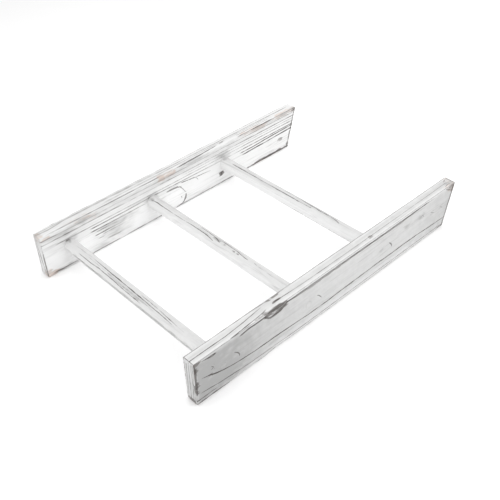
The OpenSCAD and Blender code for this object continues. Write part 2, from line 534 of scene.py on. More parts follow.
# %% [markdown]
# ## Marks as tables
#
# Cracks and knots could be left to chance, but then they would be another ladder's. So those
# in the photograph were measured there, each on its own face. The faces that it doesn't show
# have a few invented ones of the same kind.
#
# On the four long faces `along` is the distance from the top end. `across` is the height from
# the back edge on the wide two and the distance from the outer face on the narrow two. On the
# ends, `along` is that height and `across` that distance.
#
# The four long faces unroll into one strip, so that one distance can serve them all.

# %% Unroll the faces
FACES = ("outer", "front", "inner", "back", "top_end", "foot_end")
LONG_FACES = 4
TIE_BREAKS = np.array([[0], [0.01], [0.02], [0.03], [0.5], [0.5]])
END_SHIFT = 1000


def unrolled(face, across):
    """Distance in mm round the board's section, from the back of its outer face."""
    if face == "outer":
        return across
    if face == "front":
        return DEPTH + across
    if face == "inner":
        return 2 * DEPTH + THICKNESS - across
    if face == "back":
        return 2 * (DEPTH + THICKNESS) - across
    return END_SHIFT * FACES.index(face) + across


def tally(table):
    """How many marks a table holds."""
    return sum(len(marks) for marks in table.values())


def read_rows(values, name):
    """The three numbers of each point of a mesh, one row for each point."""
    numbers = np.zeros(len(values) * 3)
    values.foreach_get(name, numbers)
    return numbers.reshape(-1, 3)


class Surface:
    """A board's points, each with its place on the nearest face. TIE_BREAKS settle a corner."""

    def __init__(self, mesh):
        self.points = read_rows(mesh.vertices, "co")
        self.normals = read_rows(mesh.vertex_normals, "vector")
        x, y, z = self.points.T
        inset = OUTER - x
        station = y - TOP_END
        foot = LENGTH - np.maximum(0, DEPTH - ARRIS - z) * math.tan(LEAN)
        gaps = np.stack([inset, DEPTH - z, THICKNESS - inset, z, station, foot - station])
        self.gap, self.corner_gap = np.sort(gaps, axis=0)[:2]
        self.face = (gaps + TIE_BREAKS).argmin(axis=0)
        self.across = np.where(self.on("outer") | self.on("inner"), z, inset)
        self.along = np.where(self.face < LONG_FACES, station, z)
        self.round = np.choose(self.face, [unrolled(face, self.across) for face in FACES])
        self.marks = {}

    def on(self, face):
        return self.face == FACES.index(face)


# %% [markdown]
# ### Cracks
#
# Wood that dries opens along its grain, so a crack is a long line that wanders over a face.
# Cut into the mesh, each hair crack would need faces of its own. So the mesh only carries the
# distance to the nearest one, and the finish draws the line. The distance changes its sign at
# each crack, which keeps it smooth halfway between two of them.

# %% Draw cracks
REACH = 4.0
FAR = 99.0


def cloud(points, scale, seed):
    """Smooth noise from -1 to 1 at the points, with features of about those sizes in mm."""
    places = points / np.array(scale) + seed
    return np.array([noise.noise(Vector(place)) for place in places])


def nearest_line(offsets):
    """The signed distance and half width of the nearest line, from those of each line."""
    nearest, width, sign = FAR, 0.0, 1
    for offset, half in offsets:
        sign = sign * np.where(offset < 0, -1, 1)
        closer = np.abs(offset) < nearest
        nearest = np.where(closer, np.abs(offset), nearest)
        width = np.where(closer, half, width)
    return sign * np.minimum(nearest, REACH), width


def seam_marks(surface, table, waver):
    """Marks the cracks of a table: each is (along, across, half width) points on a face.

    The strip is a loop, so an odd number of cracks gets one more, which has no width.
    """
    lines = [(face, line) for face, lines in table.items() for line in lines]
    if len(lines) % 2:
        lines.append(("back", [(0, THICKNESS / 2, 0), (LENGTH, THICKNESS / 2, 0)]))
    offsets = []
    for face, line in lines:
        along, across, half = np.array(line, float).T
        centre = unrolled(face, np.interp(surface.along, along, across))
        here = np.interp(surface.along, along, half, left=0, right=0)
        offsets.append((surface.round - centre, here))
    surface.marks["seam"], width = nearest_line(offsets)
    surface.marks["seam_width"] = width * np.clip(1 + 0.7 * waver, 0.5, 1.6)


# %% [markdown]
# ### Growth rings
#
# Round a knot, dark curves cross the grain. They would upset the strip, whose lines run along
# the board, so they have a second distance, which counts only close to a curve.

# %% Draw growth rings
WIDTH_REACH = 3.0


def ring_marks(surface, table):
    """Marks the growth rings of a table: each is a half width and a curve on a face.

    The line tapers to nothing at its two ends. Its width ends before its distance does,
    because a line would otherwise show faintly along the rim of REACH.
    """
    distance = np.full(len(surface.along), REACH)
    width = np.zeros(len(surface.along))
    places = np.stack([surface.along, surface.across], axis=1)
    for face, half, curve in [(face, *ring) for face, rings in table.items() for ring in rings]:
        curve = np.array(curve, float)
        for index, (start, end) in enumerate(zip(curve, curve[1:])):
            run = end - start
            share = np.clip(((places - start) @ run) / (run @ run), 0, 1)
            offset = places - (start + share[:, None] * run)
            gap = np.hypot(*offset.T)
            side = np.where(run[0] * offset[:, 1] - run[1] * offset[:, 0] < 0, -1, 1)
            total = (index + share) / (len(curve) - 1)
            taper = half * np.sqrt(np.clip(4 * total * (1 - total), 0, 1))
            closer = surface.on(face) & (gap < np.abs(distance)) & (gap < REACH)
            distance = np.where(closer, side * gap, distance)
            width = np.where(closer, taper * (gap < WIDTH_REACH), width)
    surface.marks["ring"] = distance
    surface.marks["ring_width"] = width


# %% [markdown]
# ### Patches
#
# Knots, rubbed wood, dirt and daubs of new paint are spots, and so are painted shade and
# painted light. Noise alone would strew them anywhere, so each is a rounded box in a place of
# its own, and noise only frays its rim.

# %% Draw patches
RAGGED = 0.45
RIM_PAINT = 0.3
SHARP_RIM = ((4, 1.2), 0.4)
RIMS = {"bare": SHARP_RIM, "knot": SHARP_RIM, "grime_and_shade": ((12, 5), 1.1), "fresh_and_light": ((3, 3), 0.6)}


def patch(along, across, box, fade, ragged, blur=0.4):
    """A mask that is 1 inside a rounded box and falls to 0 past its ragged rim."""
    start, end, low, high = box
    reach_along = np.abs(along - (start + end) / 2) / ((end - start) / 2 + fade[0])
    reach_across = np.abs(across - (low + high) / 2) / ((high - low) / 2 + fade[1])
    reach = (reach_along ** 3 + reach_across ** 3) ** (1 / 3)
    return np.clip((1.05 - reach + RAGGED * ragged) / blur, 0, 1)


def patch_marks(surface, name, table, ragged):
    """Marks soft patches: each is (from, to along, from, to across, strength) on a face."""
    fade, blur = RIMS[name]
    mask = np.zeros(len(surface.along))
    for face, patches in table.items():
        for *box, strength in patches:
            found = patch(surface.along, surface.across, box, fade, ragged, blur)
            mask = np.maximum(mask, surface.on(face) * strength * found)
    surface.marks[name] = mask


def thin_paint_and_shade(surface, table):
    """How much each face greys along its length, from (along, strength) points: partly thin paint
    and partly painted shade. Rims hold more paint, so it greys less near the corners.
    """
    thinness_and_shade = np.zeros(len(surface.along))
    for face, points in table.items():
        along, strength = np.array(points, float).T
        thinness_and_shade += surface.on(face) * np.interp(surface.along, along, strength)
    rim = np.clip(1.6 - surface.corner_gap / 4, 0, 1) * (surface.corner_gap > 0.6)
    return thinness_and_shade * (1 - RIM_PAINT * rim)


# %% [markdown]
# ## Weathering the board
#
# Paint and bump alone would leave the board flat, and its outline would be a ruler's. So the
# points move inwards, never outwards: a groove at each crack, a hollow at each knot, and
# corners rounded by handling, more in some places than in others. Only points on the board's
# skin move, so the sockets inside keep their shape.

# %% Carve the wood
GROOVE_BANK = 0.8
FELT_WIDTH = 0.2
GROOVE_FALL = 2.6
DEEPEST_GROOVE = 1.1
RING_SHARE = 0.6
KNOT_DEPTH = 0.35
RUBBED_REACH = 2.6
RUBBED_DEPTH = 0.75
BARED = 0.65
RIPPLE = 0.05
SWELL = 0.06
SKIN = 1.2


def groove(distance, width):
    """Depth of a smooth groove along each line, for those wide enough to feel."""
    slope = np.clip(1 - np.abs(distance) / (width + GROOVE_BANK), 0, 1)
    return slope ** 2 * np.clip(GROOVE_FALL * (width - FELT_WIDTH), 0, DEEPEST_GROOVE)


def carved_depth(surface, long_waves, short_waves, bites):
    """How far each point moves inwards. A bite is a place, half length, reach and depth."""
    marks = surface.marks
    worn = np.clip(0.45 + 0.9 * long_waves + 0.5 * short_waves, 0, 1.2)
    rubbed = np.clip(1 - surface.corner_gap / RUBBED_REACH, 0, 1) ** 2
    marks["bare"] = np.maximum(marks["bare"], rubbed * np.clip(worn - BARED, 0, 0.5))
    depth = groove(marks["seam"], marks["seam_width"])
    depth += RING_SHARE * groove(marks["ring"], marks["ring_width"])
    depth += KNOT_DEPTH * marks["knot"] * (1 + short_waves)
    depth += rubbed * worn * RUBBED_DEPTH
    depth += RIPPLE * (1 + short_waves) + SWELL * (1 + long_waves)
    for face, (centre, half, reach, deep) in bites.items():
        run = np.clip(1 - ((surface.along - centre) / half) ** 2, 0, 1)
        corner = np.clip(1 - surface.corner_gap / reach, 0, 1)
        depth += deep * run * corner * surface.on(face) * (0.8 + 0.35 * short_waves)
    return np.where(surface.gap < SKIN, depth, 0)


# %% Weather a board
LONG_WAVES = ((9, 38, 9), 3.1)
SHORT_WAVES = ((2.5, 8, 2.5), 17.3)
WIDTH_WAVES = ((6, 9, 6), 44.9)


def store_marks(mesh, points, marks, crease):
    """Gives a mesh its carved points, in metres, its marks, and smooth shading to a crease."""
    mesh.vertices.foreach_set("co", points.ravel() * MM)
    for name, values in marks.items():
        layer = mesh.attributes.new(name, "FLOAT", "POINT")
        layer.data.foreach_set("value", values.astype(np.float32))
    mesh.update()
    mesh.set_sharp_from_angle(angle=math.radians(crease))


def weather(board, seams, rings, patches, thinness_and_shade, bites):
    """Carves the marks into a board's mesh and stores them as attributes for the finish."""
    surface = Surface(board.data)
    long_waves = cloud(surface.points, *LONG_WAVES)
    short_waves = cloud(surface.points, *SHORT_WAVES)
    seam_marks(surface, seams, cloud(surface.points, *WIDTH_WAVES))
    ring_marks(surface, rings)
    for name in RIMS:
        patch_marks(surface, name, patches[name], short_waves + 0.5 * long_waves)
    marks = surface.marks
    marks["grime_and_shade"] = np.maximum(marks["grime_and_shade"], thin_paint_and_shade(surface, thinness_and_shade))
    depth = carved_depth(surface, long_waves, short_waves, bites)
    moved = surface.points - surface.normals * depth[:, None]
    store_marks(board.data, moved, marks, crease=50)
    print(board.name, "loses at most", round(float(depth.max()), 2), "mm")


# %% [markdown]
# ### From a blank to a rail
#
# A joiner makes both rails the same way, and so does one function here. A finished piece is
# then seated: it gets its material, rides on the frame's one body, and stands for a CAD node,
# which is hidden.

# %% Make, mirror and seat a piece
def make_board(name, zones, tables):
    """A bored and weathered board in the left rail's place, with finer cuts in the zones."""
    blank = board_blank()
    draw_together(blank, zones)
    slant_foot(blank)
    board = as_object(name, blank)
    bore_joints(board)
    weather(board, *tables)
    return board


def mirror(piece):
    """Moves a piece from the left rail's side to the right one's."""
    piece.data.transform(Matrix.Scale(-1, 4, (1, 0, 0)))
    piece.data.flip_normals()


def seat(piece, node, finish):
    """Gives a finished piece its material and the CAD node that it stands for."""
    piece.data.materials.clear()
    piece.data.materials.append(finish)
    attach(piece, "root")
    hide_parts(node)


# %% [markdown]
# ## The left rail
#
# It is the near one in the photograph. A long crack runs down its outer face, a knot has
# broken out of its front corner, and three small crescent dents lie at its mid depth. Where a
# crack's half width falls to 0 it doesn't show, but its line runs on, so that the signs on
# either side of it stay right.

# %% Left rail: its cracks
LEFT_SEAMS = {
    "outer": [
        [(8, 40, 0), (13, 39, 0.2), (20, 36.8, 0.6), (26, 34.6, 0.8), (33, 31.8, 0.6),
         (45, 28.6, 0.5), (60, 25.8, 0.4), (80, 23.5, 0.4), (95, 22.4, 0.4), (105, 22, 0.55),
         (130, 21.5, 0.58), (150, 20.5, 0.45), (170, 19.5, 0.32), (190, 18, 0.35), (196, 18, 0.5),
         (225, 17.5, 0.5), (250, 18.5, 0.58), (275, 18.8, 0.52), (300, 19.3, 0.42), (330, 20, 0.45),
         (360, 19.3, 0.42), (385, 19.8, 0.6), (415, 19.3, 0.52), (440, 17.8, 0.38),
         (460, 16.8, 0.38), (484, 16, 0.38), (494, 15.8, 0)],
        [(6, 17, 0), (10, 16.5, 0.3), (20, 15, 0.35), (35, 12.3, 0.35), (55, 10.6, 0.32),
         (70, 9.2, 0.32), (82, 8.2, 0.28), (110, 7.2, 0.22), (140, 6, 0.24), (165, 5.2, 0.26),
         (215, 5, 0.3), (330, 5.6, 0.26), (470, 5.4, 0.26), (484, 5.4, 0)],
        [(0, 7.4, 0.42), (14, 7.4, 0.42), (24, 7.6, 0.3), (34, 7, 0), (60, 3, 0), (500, 3, 0)],
        [(12, 67, 0), (18, 66, 0.5), (22, 65.3, 1.1), (28, 65, 1.2), (31, 64.8, 0.7), (34, 64.6, 0),
         (70, 64.3, 0), (75, 65, 0.9), (84, 66.5, 0.9), (100, 66.3, 0.8), (112, 66.6, 0.7),
         (118, 66.6, 0), (148, 65.5, 0), (152, 66, 1), (190, 65.6, 1.35), (240, 65.6, 1.5),
         (260, 66, 1.2), (300, 66, 1.1), (312, 66, 0.7), (320, 65.8, 1.1), (380, 66, 1.3),
         (400, 66.6, 0.8), (430, 66.8, 0.5), (440, 66.8, 0.12), (488, 66.5, 0)],
        [(0, 1.4, 0.7), (20, 1.4, 0.75), (40, 1.4, 0.75), (46, 1.2, 0.3), (125, 1, 0.25),
         (131, 0.9, 0.5), (203, 0.9, 0.4), (209, 0.9, 0.3), (250, 0.9, 0.3), (256, 0.9, 0.6),
         (312, 0.9, 0.65), (320, 0.9, 0.4), (332, 0.9, 0.6), (394, 0.9, 0.6), (400, 0.9, 0.3),
         (480, 0.9, 0.3), (482, 0.9, 0)],
    ],
    "front": [
        [(0, 8, 0.3), (30, 8.2, 0.3), (55, 8, 0.32), (85, 10, 0.32), (112, 12.8, 0.3),
         (120, 13.3, 0)],
        [(0, -1.2, 0), (48, -1.2, 0), (57, 0.8, 0.35), (90, 3.2, 0.35), (108, 4.4, 0.4),
         (116, 5.6, 0.3), (122, 7, 0), (135, 9.4, 0), (138, 9.3, 0.35), (142, 9, 0.65),
         (146, 8.7, 0.45), (152, 8.4, 0.2), (170, 7.6, 0.22), (200, 7, 0.2), (300, 7.4, 0.18),
         (440, 8.4, 0.16), (485, 9, 0.16), (492, 9, 0)],
        [(0, 17.4, 0.2), (125, 17.2, 0.25), (130, 17.2, 0.1), (160, 17.5, 0.25), (495, 17.5, 0.2)],
        [(0, 0.4, 0.2), (495, 0.4, 0.2)],
    ],
    "top_end": [
        [(2, 6, 0.2), (30, 4.6, 0.22), (66, 5.5, 0.16)], [(3, 10.5, 0.24), (68, 9, 0.16)],
        [(10, 14.5, 0.16), (64, 13.2, 0.24)], [(0, 18.2, 0.6), (70, 18.2, 0.5)],
        [(0, 2.4, 0.3), (14, 2.2, 0.2), (40, 3, 0.12), (68, 2.4, 0.2)],
    ],
    "foot_end": [[(4, 5, 0.2), (66, 6, 0.2)], [(8, 12, 0.2), (64, 11, 0.25)]],
    "inner": [
        [(20, 52, 0), (60, 51, 0.3), (140, 50, 0.35), (230, 51.5, 0.3), (260, 52, 0)],
        [(90, 20, 0), (120, 19, 0.35), (210, 17.5, 0.45), (330, 19, 0.3), (470, 18, 0.3),
         (490, 18, 0)],
        [(250, 43, 0), (300, 42, 0.3), (430, 44, 0.35), (488, 46, 0.2), (495, 46, 0)],
        [(10, 60, 0), (40, 60.5, 0.25), (330, 61, 0.2), (360, 61, 0)],
    ],
    "back": [[(5, 9, 0), (30, 9.5, 0.3), (200, 8, 0.25), (300, 10, 0.3), (360, 10, 0)]],
}
print("left rail:", tally(LEFT_SEAMS), "cracks")

# %% Left rail: its growth rings and dents
LEFT_RINGS = {
    "outer": [
        (0.5, [(61, 45), (63, 43.5), (65, 42), (66.5, 40.5), (68, 38.5), (69, 36.5), (69.3, 34.5),
               (69, 32.5)]),
        (0.42, [(204, 41.5), (207, 39.8), (209, 38), (210.5, 36), (212, 34), (214, 31.5)]),
        (0.6, [(350, 43.5), (352, 41.5), (354, 39.5), (355.5, 37.5), (356.5, 35), (357, 32.5)]),
        (0.42, [(24, 44), (27, 43.2), (28.4, 45.5), (27, 48), (24.4, 48)]),
        (1, [(110, 66.6), (113, 65), (118, 61), (122, 59.4), (130, 59), (136, 59.6), (142, 61),
             (146, 63), (151, 66), (154, 66.4)]),
        (1.5, [(1.2, 16.5), (1.8, 22), (0.6, 28), (2.6, 33), (1, 40), (0.6, 47), (1.4, 52),
               (2.2, 58), (0.8, 64), (1, 68)]),
        (0.5, [(3.8, 29), (2.6, 35), (3.6, 40)]), (0.22, [(444, 45), (448, 42), (455, 38.4)]),
        (0.22, [(467, 43), (470, 40.5), (474, 38)]), (0.22, [(423, 52), (427, 47), (429, 45)]),
        (0.85, [(497, 70), (495, 66), (492, 55), (488, 40), (483.2, 22), (481, 14)]),
        (0.4, [(476, 68.4), (482, 64.5), (488, 62)]), (0.3, [(483, 69), (489, 66)]),
        (0.9, [(482.4, 19), (479.8, 9), (478, 1)]),
        (0.6, [(122, 66.5), (128, 66), (134, 65.6), (141, 66.6), (147, 68)]),
        (0.5, [(131, 62.6), (137, 62.4), (143, 64), (148, 66)]),
        (0.9, [(117, 67.2), (121, 68.4), (127, 68.2), (134, 68.6), (143, 69.4)]),
        (0.3, [(119.5, 64.4), (124, 63.4), (128.5, 63.6)]),
    ],
    "front": [
        (0.6, [(497.6, 0), (498, 6), (497.6, 12), (498, 19)]), (0.4, [(1, 1), (0.6, 9), (1.2, 18)]),
        (0.3, [(478, 3), (486, 5), (492, 4.4)]), (0.3, [(486, 12), (494, 15)]),
        (0.8, [(119, 1.4), (124, 0.8), (131, 1.6), (138, 1), (145, 0.6)]),
    ],
}
print("left rail:", tally(LEFT_RINGS), "rings and dents")

# %% Left rail: its patches
LEFT_PATCHES = {
    "bare": {
        "outer": [(-3, 0, 40, 68, 0.45), (480, 500, 59, 70, 0.54)],
        "top_end": [(36, 61, 2, 4.5, 0.3)],
        "front": [(474, 500, 0, 4, 0.5), (492, 500, 6, 18, 0.4)],
        "inner": [(470, 500, 60, 70, 0.6), (0, 6, 20, 70, 0.6), (180, 240, 66, 70, 0.6)],
        "back": [(0, 12, 0, 19, 0.7), (300, 340, 0, 5, 0.6)],
    },
    "knot": {
        "outer": [(114, 123, 62, 71, 0.8), (124, 138, 59, 61, 0.6), (131, 149, 62, 71, 0.6),
                  (122, 134, 65, 71, 0.64), (121, 136, 60, 66, 0.42), (-2, 4, 28, 38, 0.6),
                  (-2, 3, 19, 25, 0.6), (-2, 3, 54, 62, 0.6), (20, 32, 64.4, 65.6, 0.55),
                  (-1, 6, 65, 70, 0.75), (-2, 42, -1, 3, 0.7), (20, 26, 34.8, 36.4, 0.5),
                  (25, 32, 32.6, 34.6, 0.5), (466, 483, 0, 4, 0.55), (484, 499, 59, 69.5, 0.54)],
        "front": [(116, 147, -1, 2.7, 0.6), (101, 106, 0.4, 2.4, 0.5), (112, 116, 2.6, 4.6, 0.45),
                  (130.6, 133.2, 14.6, 18.2, 0.7), (138, 148, 16, 18.8, 0.7),
                  (136, 144, 8.2, 9.6, 0.7), (314, 316, 5, 9, 0.6), (490, 499, 0, 5, 0.2)],
        "inner": [(380, 390, 26, 34, 0.75)],
        "top_end": [(23, 34, 1.4, 2.6, 0.7), (0, 5, 0, 19, 0.6), (4, 66, 17.2, 19, 0.5)],
        "foot_end": [(18, 52, 0, 1, 0.5)],
    },
    "grime_and_shade": {
        "top_end": [(0, 8, 0, 19, 0.7)],
        "outer": [(334, 338, 36, 43, 0.7), (482, 500, 54, 70, 1), (490, 506, 34, 54, 0.95),
                  (490, 502, 14, 34, 0.85), (470, 484, 0, 5, 1), (60, 122, 3, 7, 0.72),
                  (20, 33, 52, 58, 1), (384, 394, 46, 53, 0.9), (406, 437, 45, 53, 0.95),
                  (443, 455, 37, 46, 0.95), (465, 476, 38, 47, 0.95), (330, 339, 36, 46, 0.85),
                  (150, 430, 64.5, 66.5, 0.6), (400, 470, 40, 54, 0.66), (340, 380, 38, 52, 0.56)],
        "inner": [(30, 120, 8, 40, 0.45)],
        "front": [(482, 500, 0, 12, 1)],
    },
    # The white band low along the outer face, against the floor's shade, and the white patch on the
    # inner face by the top rung are painted light.
    "fresh_and_light": {"outer": [(60, 480, -2, 13, 0.3)], "inner": [(30, 70, 10, 36, 0.7)]},
}
print("left rail:", {kind: tally(table) for kind, table in LEFT_PATCHES.items()}, "patches")

# %% Left rail: its thin paint and painted shade, its broken corner and the piece
# The outer face greys towards the top end, and the ends grey all over: partly thin paint and partly
# painted shade.
LEFT_THINNESS_AND_SHADE = {
    "outer": [(0, 1.05), (45, 1.02), (62, 0.96), (85, 0.84), (105, 0.69), (130, 0.62), (175, 0.55),
              (250, 0.48), (400, 0.5), (450, 0.6), (500, 0.7)],
    "front": [(0, 0.55), (500, 0.62)],
    "inner": [(0, 0.3), (250, 0.2), (500, 0.3)],
    "back": [(0, 0.3), (500, 0.3)],
    "top_end": [(0, 0.42), (70, 0.36)],
    "foot_end": [(0, 0.4), (70, 0.3)],
}
LEFT_BITES = {"outer": (132, 20, 9, 1.3), "front": (132, 20, 4, 0.8)}
LEFT_ZONES = [(0, 8), (58, 72), (100, 150), (202, 216), (348, 359), (482, 500)]
LEFT_TABLES = (LEFT_SEAMS, LEFT_RINGS, LEFT_PATCHES, LEFT_THINNESS_AND_SHADE, LEFT_BITES)

left_board = make_board("left_board", LEFT_ZONES, LEFT_TABLES)
seat(left_board, "left_rail", rail_finish)

# %% [markdown]
# ## The right rail
#
# The far one shows its inner face: long straight grain, a large growth ring cut off by the
# back edge, one black knot, and brown wood where the front corner was rubbed. It could have
# its own measures from the other side, but a joiner cuts both rails to one set. So it is made
# in the left one's place and then mirrored.

# %% Right rail: its cracks
RIGHT_SEAMS = {
    "inner": [
        [(0, 57, 0.15), (35, 57, 0.3), (60, 57, 0.32), (130, 57, 0.22), (140, 57, 0.14),
         (205, 57, 0.14), (212, 57, 0.25), (235, 57, 0.22), (245, 57, 0.14), (365, 57, 0.16),
         (378, 57, 0.3), (495, 57, 0.3)],
        [(18, 48, 0), (24, 48, 0.28), (60, 48, 0.28), (80, 48, 0.2), (290, 48, 0.22),
         (300, 48, 0.12), (366, 48, 0.12), (376, 48, 0.3), (492, 48, 0.3), (498, 48, 0)],
        [(76, 43.5, 0), (82, 43.3, 0.38), (140, 43, 0.35), (180, 44, 0.22), (240, 43.3, 0.32),
         (297, 43, 0.2), (305, 43, 0.08), (362, 42.4, 0.1), (372, 42.4, 0.38), (490, 42.4, 0.45),
         (498, 42.4, 0)],
        [(76, 38, 0), (80, 38, 0.48), (104, 37.6, 0.45), (128, 37.5, 0.2), (138, 37.4, 0.15),
         (143, 37.6, 0.3), (172, 37.8, 0.25), (178, 37.4, 0), (369, 37.4, 0), (374, 37, 0.56),
         (400, 37, 0.55), (440, 38.8, 0.55), (490, 40, 0.5), (496, 40, 0)],
        [(83, 28.5, 0), (86, 28.5, 0.5), (98, 28.5, 0.5), (105, 28.5, 0.35), (120, 28.5, 0.15),
         (155, 28, 0)],
        [(86, 34, 0), (90, 34, 0.25), (118, 33.6, 0.22), (126, 33.4, 0), (140, 30.5, 0)],
        [(95, 25, 0), (100, 25, 0.24), (128, 24.6, 0.2), (136, 24.4, 0)],
        [(88, 21, 0), (91, 21, 0.45), (95, 20.8, 0.3), (102, 20.6, 0)],
        [(100, 14, 0), (106, 13.6, 0.22), (124, 12.6, 0.26), (130, 12.4, 0)],
        [(244, 41, 0), (248, 40.5, 0.4), (270, 37.8, 0.38), (285, 36.5, 0.36), (300, 35.5, 0.28),
         (308, 35, 0), (374, 32, 0), (380, 32, 0.6), (405, 32.5, 0.75), (412, 32.8, 0.6),
         (425, 33, 0.4), (455, 34, 0.58), (490, 35, 0.7), (495, 35, 0)],
        [(8, 4, 0), (14, 4, 0.4), (24, 3.8, 0.6), (46, 3.8, 0.35), (52, 3, 0), (73, 1.5, 0),
         (77, 1.7, 0.5), (120, 1.5, 0.4), (126, 1.3, 0), (136, 1.2, 0), (140, 1.4, 0.45),
         (204, 1.3, 0.4), (210, 1.2, 0), (230, 1.2, 0), (234, 1.3, 0.45), (300, 1.4, 0.5),
         (348, 1.5, 0.6), (354, 1.5, 0), (382, 1.6, 0), (386, 1.6, 0.75), (405, 1.8, 0.8),
         (430, 2.3, 0.85), (465, 2.6, 0.85), (478, 2, 0.7), (484, 2, 0)],
        [(0, 64, 0.3), (30, 63.5, 0.22), (60, 63, 0.14), (150, 63.5, 0.14), (340, 63.5, 0.14),
         (490, 63, 0.2), (498, 63, 0)],
        [(240, 52.5, 0), (260, 52.5, 0.12), (420, 52.8, 0.16), (488, 53, 0.14), (494, 53, 0)],
    ],
    "front": [
        [(0, 7, 0.3), (20, 8.8, 0.3), (45, 6.2, 0.25), (60, 6, 0.15), (240, 7, 0.26),
         (480, 7.5, 0.28), (490, 7.5, 0)],
        [(0, 17.4, 0), (45, 17.2, 0.35), (120, 17.4, 0.3), (204, 17.4, 0.4), (209, 17.4, 0.1),
         (236, 17.4, 0.1), (246, 17.4, 0.4), (256, 17, 0.8), (290, 15.4, 0.7), (320, 13.6, 0.4),
         (328, 13, 0), (366, 14, 0), (371, 14, 0.25), (433, 14, 0.2), (440, 14, 0)],
        [(100, 12, 0), (120, 12, 0.2), (200, 11.5, 0.2), (366, 10.4, 0.1), (372, 10.4, 0.15),
         (434, 10.4, 0.12), (442, 10.4, 0)],
        [(0, 18.9, 0), (340, 18.9, 0), (366, 18.7, 0), (371, 18.7, 0.35), (395, 18.7, 0.3),
         (405, 18.7, 0.8), (436, 18.7, 0.9), (446, 18.7, 0.2), (470, 18.7, 0.25), (490, 18.7, 0.4),
         (495, 18.7, 0.9), (499, 18.7, 0)],
        [(0, 4.6, 0.28), (200, 4.6, 0.2), (230, 4.4, 0)],
        [(0, 0.8, 0.3), (200, 0.8, 0.42), (330, 0.8, 0.45), (488, 0.8, 0.42), (496, 0.8, 0)],
    ],
    "top_end": [
        [(2, 2.5, 0.3), (35, 4, 0.34), (55, 2.5, 0.22), (69, 2, 0.14)],
        [(2, 16, 0.3), (12, 12.5, 0.4), (26, 9.5, 0.4), (36, 9, 0.45), (50, 6.5, 0.3),
         (69, 6, 0.15)],
        [(0, 18, 0.4), (6, 18.2, 0.7), (38, 18.2, 0.7), (45, 18.3, 0.35), (70, 18.5, 0.25)],
    ],
    "outer": [
        [(15, 45, 0), (60, 44, 0.35), (190, 42, 0.45), (300, 43, 0.35), (440, 45, 0.4),
         (485, 46, 0.2), (494, 46, 0)],
        [(120, 24, 0), (160, 23, 0.35), (300, 22, 0.3), (410, 24, 0.4), (480, 25, 0)],
        [(10, 58, 0), (30, 58, 0.25), (220, 59, 0.3), (380, 58, 0.2), (410, 58, 0)],
        [(30, 10, 0), (60, 10, 0.3), (210, 9, 0.35), (250, 9, 0)],
    ],
    "back": [[(60, 8, 0), (90, 8, 0.3), (260, 9, 0.3), (420, 9.5, 0.25), (450, 9.5, 0)]],
}
print("right rail:", tally(RIGHT_SEAMS), "cracks")

# %% Right rail: its growth rings
RIGHT_RINGS = {
    "inner": [
        (0.95, [(216, 37.8), (222, 37.9), (230, 37.7), (238, 36.8), (246, 33)]),
        (0.35, [(240, 36.4), (245, 32), (248.5, 27.5), (251, 23), (254, 19)]),
        (1.1, [(253, 18), (252.8, 14), (251, 9.5), (248, 5), (244, 2.6)]),
        (0.6, [(250, 6), (245, 3.2), (238, 1.8), (231, 1)]),
        (0.3, [(273, 37), (276, 35.4), (278, 33), (279, 30)]),
        (1.9, [(326.2, 14.5), (328, 17.5), (329.4, 22.5)]),
        (0.5, [(322, 15.6), (325.5, 15), (330, 20), (332.5, 22.6)]),
        (0.3, [(456, 24.5), (460, 26), (465, 25.2), (467, 22.8), (464, 20.6), (459, 20.6)]),
        (1, [(489, 37), (486.6, 31), (484.4, 25), (482.8, 19), (481, 12)]),
        (1.1, [(480.6, 13), (479, 7), (477.6, 1.5)]),
        (0.8, [(495.8, 65), (493.4, 56), (490.4, 45), (488, 36), (486.6, 31)]),
        (1, [(498.4, 70), (496.4, 65), (494.4, 59)]), (0.4, [(243, 17), (244.5, 15), (244, 12.5)]),
    ],
    "outer": [
        (0.5, [(318, 0), (330, 7), (340, 11.4), (352, 13), (364, 11), (374, 6), (386, 2)]),
        (0.7, [(335, 0.6), (339, 5.4), (346, 8.4), (354, 8.8), (361, 6), (366, 1)]),
    ],
}
print("right rail:", tally(RIGHT_RINGS), "rings")

